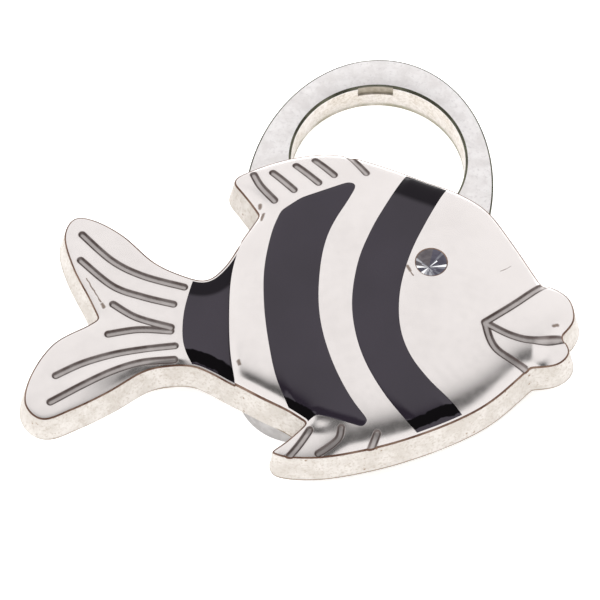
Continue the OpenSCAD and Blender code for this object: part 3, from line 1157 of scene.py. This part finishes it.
def polished_nickel():
    """Bright plate with faint polishing haze, specks, and a film in the engraved lines."""
    n = Material("polished_nickel")
    haze = n.noise(90, 4, 0.55)
    tint = n.blend(n.ramp(haze, 0.35, 0.7), (0.885, 0.838, 0.825), (0.845, 0.798, 0.785))
    recess = n.attribute("recess")
    film = n.maths("MULTIPLY", recess, n.uneven((0.85, 1.0), 500, 3))
    tint = n.blend(film, tint, (0.115, 0.085, 0.078))
    stain = n.streaks()
    tint = n.blend(stain, tint, (0.14, 0.08, 0.045))
    speck = n.maths("MULTIPLY", n.ramp(n.cells(170), 0.0, 0.05, 1, 0),
                    n.ramp(n.noise(60, 2), 0.55, 0.62))
    tint = n.blend(speck, tint, (0.16, 0.11, 0.08))
    fine = n.uneven((0.19, 0.25), 700, 4, 0.6)
    rough = n.maths("ADD", fine, n.maths("MULTIPLY", film, 0.3))
    n.set(Base_Color=tint, Metallic=1.0, Roughness=rough)
    n.bump(n.noise(350, 3, 0.5), 0.05, 0.05)
    return n.material


def cast_nickel():
    """Unpolished plate on the side wall and back, with the grain of the casting under it and painted brown
    shade on the back and low on the wall.
    """
    n = Material("cast_nickel")
    grain = n.noise(2200, 5, 0.7)
    patch = n.noise(330, 4, 0.6)
    tint = n.blend(n.ramp(patch, 0.35, 0.65), (0.61, 0.576, 0.543), (0.52, 0.483, 0.444))
    tint = n.blend(n.ramp(grain, 0.50, 0.66), tint, (0.48, 0.43, 0.38))
    pit = n.ramp(n.cells(750), 0.05, 0.22, 1, 0)
    pit = n.maths("MULTIPLY", pit, n.ramp(n.noise(300, 2), 0.53, 0.62))
    tint = n.blend(pit, tint, (0.26, 0.18, 0.12))
    # painted shade: a brown band, broken by noise, on the back and the lowest half millimetre of the wall
    low = n.ramp(n.height(), (BACK_Z + 0.25) * MM, (BACK_Z + 0.55) * MM, 1, 0)
    low = n.maths("MULTIPLY", low, n.ramp(n.noise(75, 3), 0.44, 0.56))
    tint = n.blend(low, tint, (0.19, 0.14, 0.09))
    n.set(Base_Color=tint, Metallic=0.7, Roughness=n.ramp(grain, 0.3, 0.7, 0.42, 0.62))
    n.bump(n.maths("ADD", grain, n.maths("MULTIPLY", patch, 1.5)), 0.4, 0.12)
    return n.material


def mottled(name, light, dark, cloud, rough, gloss, metallic=0.0, dark_from=0.65):
    """A plain material whose tint and gloss are uneven, each with its own noise."""
    n = Material(name)
    tint = n.blend(n.ramp(n.noise(*cloud), 0.35, dark_from), light, dark)
    n.set(Base_Color=tint, Metallic=metallic, Roughness=n.uneven(rough, *gloss))
    return n


def dark_edge_line():
    """The thin dark reddish-brown line along an edge."""
    return mottled("dark_edge_line", (0.10, 0.05, 0.034), (0.24, 0.16, 0.12), (260, 4, 0.6),
                   (0.35, 0.5), (900, 3), 0.7, 0.7).material


def ring_nickel():
    """Tumbled plate with a cloudy mottle, a warm painted reflection on its walls, and painted olive shade
    low on its walls.
    """
    n = Material("ring_nickel")
    cloud = n.noise(380, 5, 0.62, 0.4)
    tint = n.blend(n.ramp(cloud, 0.35, 0.68), (0.87, 0.845, 0.845), (0.765, 0.735, 0.73))
    tint = n.blend(n.ramp(n.noise(1500, 4, 0.65), 0.5, 0.7), tint, (0.73, 0.70, 0.70))
    height = n.height()
    # painted reflection: below the top face the walls are painted a darker warm tan
    wall = n.maths("MULTIPLY", n.ramp(height, 5.2 * MM, 5.8 * MM, 1, 0),
                   n.uneven((0.6, 0.95), 260, 4))
    wall_reflection_tint = n.blend(n.ramp(n.noise(1900, 5, 0.7), 0.42, 0.62), (0.65, 0.605, 0.553),
                        (0.495, 0.437, 0.365))
    tint = n.blend(wall, tint, wall_reflection_tint)
    # painted shade: an olive band, broken by noise, low on the walls and just above the very bottom
    low = n.maths("MULTIPLY", n.ramp(height, 0.6 * MM, 1.4 * MM, 1, 0),
                  n.ramp(height, 0.03 * MM, 0.15 * MM))
    low = n.maths("MULTIPLY", low, n.ramp(n.noise(150, 3), 0.35, 0.6))
    tint = n.blend(low, tint, (0.30, 0.28, 0.20))
    rough = n.uneven((0.34, 0.5), 800, 4, 0.6)
    n.set(Base_Color=tint, Metallic=0.8, Roughness=rough)
    n.bump(n.noise(1300, 4, 0.6), 0.18, 0.05)
    return n.material


def notch_shade():
    """Painted grey-brown shade on the back of the notch, painted darker still near its top."""
    n = Material("notch_shade")
    cloud = n.ramp(n.noise(450, 4, 0.6), 0.35, 0.68)
    tint = n.blend(cloud, (0.25, 0.22, 0.165), (0.42, 0.375, 0.31))
    # painted shade: a darker band near the top of the notch's back wall
    top = n.ramp(n.height(), (RING_H - 0.75) * MM, (RING_H - 0.3) * MM)
    tint = n.blend(top, tint, (0.06, 0.06, 0.04))
    n.set(Base_Color=tint, Metallic=0.7, Roughness=n.uneven((0.4, 0.55), 800, 3))
    return n.material


def ring_bevel_shade():
    """Painted dark olive shade on the plate's bevels."""
    return mottled("ring_bevel_shade", (0.045, 0.045, 0.03), (0.13, 0.13, 0.09), (200, 4, 0.6),
                   (0.35, 0.5), (700, 3), 0.7, 0.7).material


def black_enamel(name, at_back, at_belly):
    """Gloss black with a faint violet cast and a few dust nibs; its ends are painted a deeper black
    with no specular reflection, a painted shade.

    at_back and at_belly are how far in from the fish's edge the painted deep black goes and how far
    its soft end, and for the belly's side also where it starts."""
    n = Material(name)
    cloud = n.noise(70, 3, 0.5)
    tint = n.blend(n.ramp(cloud, 0.3, 0.7), (0.012, 0.009, 0.014), (0.017, 0.013, 0.020))
    nib = n.maths("MULTIPLY", n.ramp(n.cells(210), 0.0, 0.035, 1, 0),
                  n.ramp(n.noise(45, 2), 0.56, 0.6))
    tint = n.blend(nib, tint, (0.5, 0.5, 0.52))
    # painted shade: toward the stripe's ends the base colour turns a deeper black and the specular
    # reflection fades out
    back_run = n.attribute("from_back")
    belly_run = n.maths("ADD", n.attribute("from_belly"), n.ramp(n.noise(330, 3), 0.25, 0.75, -0.35, 0.35))
    start, full, gone = at_belly
    thin = n.maths("MULTIPLY", n.ramp(belly_run, full, gone, 1, 0),
                   n.ramp(belly_run, start - 0.15, start + 0.05))
    thin = n.maths("MAXIMUM", thin, n.ramp(back_run, at_back[0], at_back[1], 0.7, 0))
    tint = n.blend(thin, tint, (0.004, 0.0035, 0.004))
    n.set(Base_Color=tint, IOR=1.54, Roughness=n.uneven((0.03, 0.06), 400, 3),
          Specular_IOR_Level=n.ramp(thin, 0, 1, 0.5, 0.0), Specular_Tint=(0.97, 0.92, 1.0))
    n.bump(n.noise(120, 2, 0.5), 0.02, 0.05)
    return n.material


def stone_glass(name, low, high):
    """Cut glass in one of the facets' tints, which are the stone's smoky colour with painted shade and
    painted highlights.
    """
    return mottled(name, low, high, (900, 2), (0.05, 0.12), (500, 2), 0.6).material


def simple_metal(name, light, dark, scale, rough, grain):
    """A plain plated metal with a mottled tint, uneven gloss and a fine grain."""
    n = mottled(name, light, dark, (scale, 4, 0.6), rough, (scale * 2, 3), 0.9)
    n.bump(n.noise(scale * 5, 4, 0.6), grain, 0.05)
    return n.material


def soft_pad(name, light, dark):
    """Pale adhesive or cement, slightly uneven."""
    n = mottled(name, light, dark, (600, 4, 0.6), (0.5, 0.7), (900, 3))
    n.bump(n.noise(2500, 3), 0.2, 0.05)
    return n.material


# ---------------------------------------------------------------- the pieces

edge = dark_edge_line()
# The facets' tints, the stone's smoky colour with painted shade and painted highlights: brown,
# navy, middle, light and bright
stone_painted_shading = [stone_glass("stone_brown", (0.085, 0.075, 0.083), (0.128, 0.115, 0.122)),
               stone_glass("stone_navy", (0.062, 0.058, 0.08), (0.092, 0.087, 0.115)),
               stone_glass("stone_middle", (0.14, 0.14, 0.165), (0.20, 0.20, 0.23)),
               stone_glass("stone_painted_light", (0.33, 0.33, 0.36), (0.42, 0.42, 0.45)),
               stone_glass("stone_painted_highlight", (0.88, 0.89, 0.92), (0.97, 0.97, 0.98))]
pieces = {
    "fish_body": fish_body([polished_nickel(), cast_nickel(), edge]),
    "stem_enamel": enamel_fill("stem_band", "stem_enamel",
                               black_enamel("black_stem", (2.5, 3.5), (0.75, 2.7, 3.0))),
    "rear_enamel": enamel_fill("rear_band", "rear_enamel",
                               black_enamel("black_rear", (0, 0.01), (-1, 1.4, 1.7))),
    "front_enamel": enamel_fill("front_band", "front_enamel",
                                black_enamel("black_front", (4.4, 5.8), (0.9, 2.6, 2.9))),
    "eye_stone": eye_stone(stone_painted_shading + [edge]),
    "opener_ring": opener_ring([ring_nickel(), ring_bevel_shade(), notch_shade()]),
    "ring_rivets": ring_rivets(simple_metal("rivet_steel", (0.62, 0.62, 0.63), (0.48, 0.48, 0.5),
                                            500, (0.28, 0.4), 0.1)),
    "magnet": rounded_disc("disc_magnet", magnet_low, magnet_high, 0.3,
                           simple_metal("magnet_plating", (0.42, 0.405, 0.40), (0.35, 0.335, 0.33),
                                        350, (0.35, 0.5), 0.08)),
    "magnet_pad": rounded_disc("foam_pad", pad_low, pad_high, 0.1,
                               soft_pad("adhesive", (0.86, 0.83, 0.74), (0.74, 0.7, 0.6))),
}
for node, piece in pieces.items():
    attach(piece, "root")
    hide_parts(node)
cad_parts["eye_cement"].data.materials.clear()
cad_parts["eye_cement"].data.materials.append(
    soft_pad("cement", (0.8, 0.75, 0.6), (0.7, 0.64, 0.5)))

# ---------------------------------------------------------------- floor, light and camera


def floor():
    """A plain pale sheet under the opener."""
    n = Material("floor_paper")
    tint = n.blend(n.ramp(n.noise(8, 3), 0.3, 0.7), (0.93, 0.93, 0.93), (0.95, 0.95, 0.95))
    n.set(Base_Color=tint, Roughness=0.9, Emission_Color=(1.0, 1.0, 1.0), Emission_Strength=0.56)
    half = 3.0
    mesh = bpy.data.meshes.new("floor")
    mesh.from_pydata([(-half, -half, 0), (half, -half, 0), (half, half, 0), (-half, half, 0)], [],
                     [(0, 1, 2, 3)])
    mesh.materials.append(n.material)
    sheet = bpy.data.objects.new("floor", mesh)
    bpy.context.scene.collection.objects.link(sheet)


def studio():
    """A white tent with a dark gap overhead."""
    world = bpy.data.worlds.new("studio")
    bpy.context.scene.world = world
    world.use_nodes = True
    n = Nodes(world.node_tree)
    background = n.tree.nodes["Background"]
    way = n.add("ShaderNodeTexCoord").outputs["Generated"]

    def toward(direction, low, high, dark, light):
        """A shade that changes as the view turns toward a direction."""
        return n.ramp(n.vector("DOT_PRODUCT", way, direction), low, high, dark, light)

    # the gap: dark from overhead towards the camera, sharp on the camera's side
    dark = toward((0, 0, 1), 0.0, 0.1, 0.0, 0.9)
    for share in (toward((1, 0, 0), -0.55, -0.42, 0.0, 1.0),
                  toward((1, 0, 0), 0.42, 0.55, 1.0, 0.0),
                  toward((0, 1, 0), -0.33, -0.27, 0.0, 1.0),
                  toward((0, 1, 0), 0.06, 0.47, 1.0, 0.0)):
        dark = n.maths("MULTIPLY", dark, share)
    n.link(n.maths("SUBTRACT", 1.0, dark), background.inputs["Strength"])
    background.inputs["Color"].default_value = (1.0, 0.995, 0.99, 1)


def fill_light():
    """A large soft light overhead that brightens the floor and doesn't mirror in the metal."""
    lamp = bpy.data.lights.new("overhead", "AREA")
    lamp.shape = "SQUARE"
    lamp.size = 1.2
    lamp.energy = 9
    holder = bpy.data.objects.new("overhead", lamp)
    holder.location = (-0.15, 0.1, 1.0)
    holder.rotation_euler = Vector(holder.location).to_track_quat("Z", "Y").to_euler()
    holder.visible_glossy = False
    bpy.context.scene.collection.objects.link(holder)


def camera():
    """Looks down at the face from the belly's side, a little from the head's side."""
    distance_m = 0.45
    elevation, azimuth = math.radians(60), math.radians(3)
    pixels_per_mm = 6.15
    picture_width = 600
    target = Vector((-0.0008, (fish_low.y + fish_high.y) / 2 + 0.0008, 0.0104))
    back = Vector((math.sin(azimuth) * math.cos(elevation),
                   -math.cos(azimuth) * math.cos(elevation), math.sin(elevation)))
    data = bpy.data.cameras.new("camera")
    data.sensor_width = 36
    data.lens = data.sensor_width * pixels_per_mm * distance_m / MM / picture_width
    data.clip_start = 0.01
    data.clip_end = 20
    view = bpy.data.objects.new("camera", data)
    view.location = target + back * distance_m
    view.rotation_euler = back.to_track_quat("Z", "Y").to_euler()
    bpy.context.scene.collection.objects.link(view)
    bpy.context.scene.camera = view


floor()
studio()
fill_light()
camera()
bpy.context.scene.view_settings.view_transform = "Standard"
